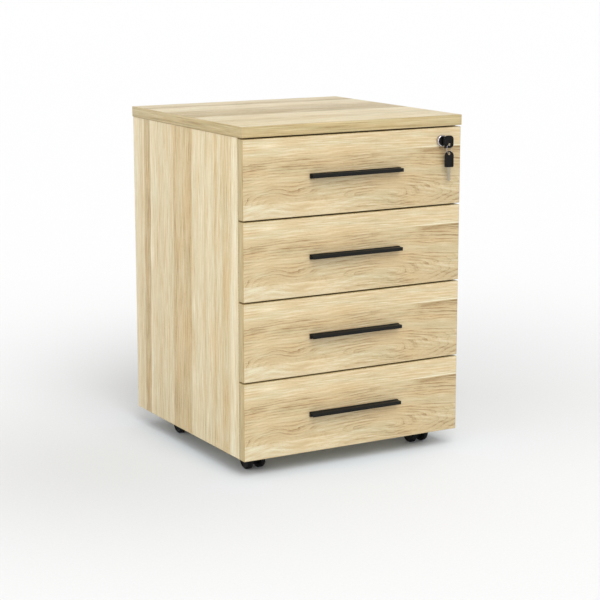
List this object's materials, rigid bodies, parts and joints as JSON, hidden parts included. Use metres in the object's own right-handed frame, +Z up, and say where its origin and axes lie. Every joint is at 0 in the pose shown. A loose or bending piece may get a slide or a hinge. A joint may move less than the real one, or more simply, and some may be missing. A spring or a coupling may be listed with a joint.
{
  "type": "rolling pedestal cabinet",
  "caption": "Oak-faced office pedestal on twin-wheel castors: equal drawers on steel runners, black bar handles, folding key, spare key and central locking bar.",
  "frame": {"origin": "on the floor, under the middle of the whole object's box, handles included", "axes": "+X to the right seen from the front, +Y to the back, +Z up; the drawer fronts face -Y"},
  "size_m": [0.466, 0.474, 0.642],
  "materials": {
    "oak_board": "light oak melamine with matching edge bands, satin",
    "black_metal": "black powder coat, satin",
    "grey_steel": "light grey epoxy-coated sheet steel",
    "grey_board": "light grey melamine board",
    "bright_steel": "bright zinc-plated steel",
    "chrome": "polished chrome plate",
    "black_plastic": "moulded black plastic",
    "black_nylon": "moulded black nylon"
  },
  "bodies": {
    "cabinet": {"top_panel": "oak_board", "side_panel_left": "oak_board", "side_panel_right": "oak_board", "back_panel": "oak_board", "base_panel": "oak_board", "runner_left_1": "grey_steel", "runner_right_1": "grey_steel", "runner_left_2": "grey_steel", "runner_right_2": "grey_steel", "runner_left_3": "grey_steel", "runner_right_3": "grey_steel", "runner_left_4": "grey_steel", "runner_right_4": "grey_steel", "castor_front_left_plate": "bright_steel", "castor_front_right_plate": "bright_steel", "castor_rear_left_plate": "bright_steel", "castor_rear_right_plate": "bright_steel"},
    "drawer_1": {"drawer_1_front": "oak_board", "drawer_1_handle": "black_metal", "drawer_1_side_left": "grey_steel", "drawer_1_side_right": "grey_steel", "drawer_1_bottom": "grey_board", "drawer_1_back": "grey_board", "lock_housing": "chrome"},
    "drawer_2": {"drawer_2_front": "oak_board", "drawer_2_handle": "black_metal", "drawer_2_side_left": "grey_steel", "drawer_2_side_right": "grey_steel", "drawer_2_bottom": "grey_board", "drawer_2_back": "grey_board"},
    "drawer_3": {"drawer_3_front": "oak_board", "drawer_3_handle": "black_metal", "drawer_3_side_left": "grey_steel", "drawer_3_side_right": "grey_steel", "drawer_3_bottom": "grey_board", "drawer_3_back": "grey_board"},
    "drawer_4": {"drawer_4_front": "oak_board", "drawer_4_handle": "black_metal", "drawer_4_side_left": "grey_steel", "drawer_4_side_right": "grey_steel", "drawer_4_bottom": "grey_board", "drawer_4_back": "grey_board"},
    "front_left_swivel": {"castor_front_left_hood": "black_nylon"},
    "front_left_left_wheel": {"castor_front_left_wheel_left": "black_nylon"},
    "front_left_right_wheel": {"castor_front_left_wheel_right": "black_nylon"},
    "front_right_swivel": {"castor_front_right_hood": "black_nylon"},
    "front_right_left_wheel": {"castor_front_right_wheel_left": "black_nylon"},
    "front_right_right_wheel": {"castor_front_right_wheel_right": "black_nylon"},
    "rear_left_swivel": {"castor_rear_left_hood": "black_nylon"},
    "rear_left_left_wheel": {"castor_rear_left_wheel_left": "black_nylon"},
    "rear_left_right_wheel": {"castor_rear_left_wheel_right": "black_nylon"},
    "rear_right_swivel": {"castor_rear_right_hood": "black_nylon"},
    "rear_right_left_wheel": {"castor_rear_right_wheel_left": "black_nylon"},
    "rear_right_right_wheel": {"castor_rear_right_wheel_right": "black_nylon"},
    "key": {"lock_plug": "bright_steel", "key": "black_plastic"},
    "folding_head": {"key_head": "black_plastic"},
    "ring": {"key_ring": "bright_steel"},
    "spare": {"spare_key": "black_plastic"},
    "locking_bar": {"lock_bar": "grey_steel"}
  },
  "joints": [
    {"name": "drawer_1_slide", "type": "slide", "parent": "cabinet", "child": "drawer_1", "axis": [0, -1, 0], "range_m": [0, 0.3]},
    {"name": "drawer_2_slide", "type": "slide", "parent": "cabinet", "child": "drawer_2", "axis": [0, -1, 0], "range_m": [0, 0.3]},
    {"name": "drawer_3_slide", "type": "slide", "parent": "cabinet", "child": "drawer_3", "axis": [0, -1, 0], "range_m": [0, 0.3]},
    {"name": "drawer_4_slide", "type": "slide", "parent": "cabinet", "child": "drawer_4", "axis": [0, -1, 0], "range_m": [0, 0.3]},
    {"name": "front_left_castor_swivel", "type": "hinge", "parent": "cabinet", "child": "front_left_swivel", "pos_m": [-0.181, -0.1444, 0.044], "axis": [0, 0, 1], "continuous": true},
    {"name": "front_left_left_wheel_roll", "type": "hinge", "parent": "front_left_swivel", "child": "front_left_left_wheel", "pos_m": [-0.19435, -0.1584, 0.02], "axis": [1, 0, 0], "continuous": true},
    {"name": "front_left_right_wheel_roll", "type": "hinge", "parent": "front_left_swivel", "child": "front_left_right_wheel", "pos_m": [-0.16765, -0.1584, 0.02], "axis": [1, 0, 0], "continuous": true},
    {"name": "front_right_castor_swivel", "type": "hinge", "parent": "cabinet", "child": "front_right_swivel", "pos_m": [0.181, -0.1444, 0.044], "axis": [0, 0, 1], "continuous": true},
    {"name": "front_right_left_wheel_roll", "type": "hinge", "parent": "front_right_swivel", "child": "front_right_left_wheel", "pos_m": [0.16765, -0.1584, 0.02], "axis": [1, 0, 0], "continuous": true},
    {"name": "front_right_right_wheel_roll", "type": "hinge", "parent": "front_right_swivel", "child": "front_right_right_wheel", "pos_m": [0.19435, -0.1584, 0.02], "axis": [1, 0, 0], "continuous": true},
    {"name": "rear_left_castor_swivel", "type": "hinge", "parent": "cabinet", "child": "rear_left_swivel", "pos_m": [-0.181, 0.1372, 0.044], "axis": [0, 0, 1], "continuous": true},
    {"name": "rear_left_left_wheel_roll", "type": "hinge", "parent": "rear_left_swivel", "child": "rear_left_left_wheel", "pos_m": [-0.19435, 0.1232, 0.02], "axis": [1, 0, 0], "continuous": true},
    {"name": "rear_left_right_wheel_roll", "type": "hinge", "parent": "rear_left_swivel", "child": "rear_left_right_wheel", "pos_m": [-0.16765, 0.1232, 0.02], "axis": [1, 0, 0], "continuous": true},
    {"name": "rear_right_castor_swivel", "type": "hinge", "parent": "cabinet", "child": "rear_right_swivel", "pos_m": [0.181, 0.1372, 0.044], "axis": [0, 0, 1], "continuous": true},
    {"name": "rear_right_left_wheel_roll", "type": "hinge", "parent": "rear_right_swivel", "child": "rear_right_left_wheel", "pos_m": [0.16765, 0.1232, 0.02], "axis": [1, 0, 0], "continuous": true},
    {"name": "rear_right_right_wheel_roll", "type": "hinge", "parent": "rear_right_swivel", "child": "rear_right_right_wheel", "pos_m": [0.19435, 0.1232, 0.02], "axis": [1, 0, 0], "continuous": true},
    {"name": "key_turn", "type": "hinge", "parent": "drawer_1", "child": "key", "pos_m": [0.1875, -0.2218, 0.5955], "axis": [0, 1, 0], "range_deg": [0, 90]},
    {"name": "key_fold", "type": "hinge", "parent": "key", "child": "folding_head", "pos_m": [0.1875, -0.2328, 0.5955], "axis": [0, 0, -1], "range_deg": [0, 90]},
    {"name": "ring_hang", "type": "hinge", "parent": "folding_head", "child": "ring", "pos_m": [0.1988, -0.2328, 0.5884], "axis": [0, 1, 0], "range_deg": [-90, 0]},
    {"name": "spare_swing", "type": "hinge", "parent": "ring", "child": "spare", "pos_m": [0.1988, -0.2328, 0.5712], "axis": [0, 1, 0], "range_deg": [-18, 18]},
    {"name": "locking_bar_slide", "type": "slide", "parent": "cabinet", "child": "locking_bar", "axis": [0, 0, 1], "range_m": [-0.00597, 0]}
  ],
  "couplings": [
    {"joint": "key_turn", "follows": "locking_bar_slide", "rad_per_m": -263.16},
    {"joint": "ring_hang", "follows": "locking_bar_slide", "rad_per_m": 263.16}
  ]
}
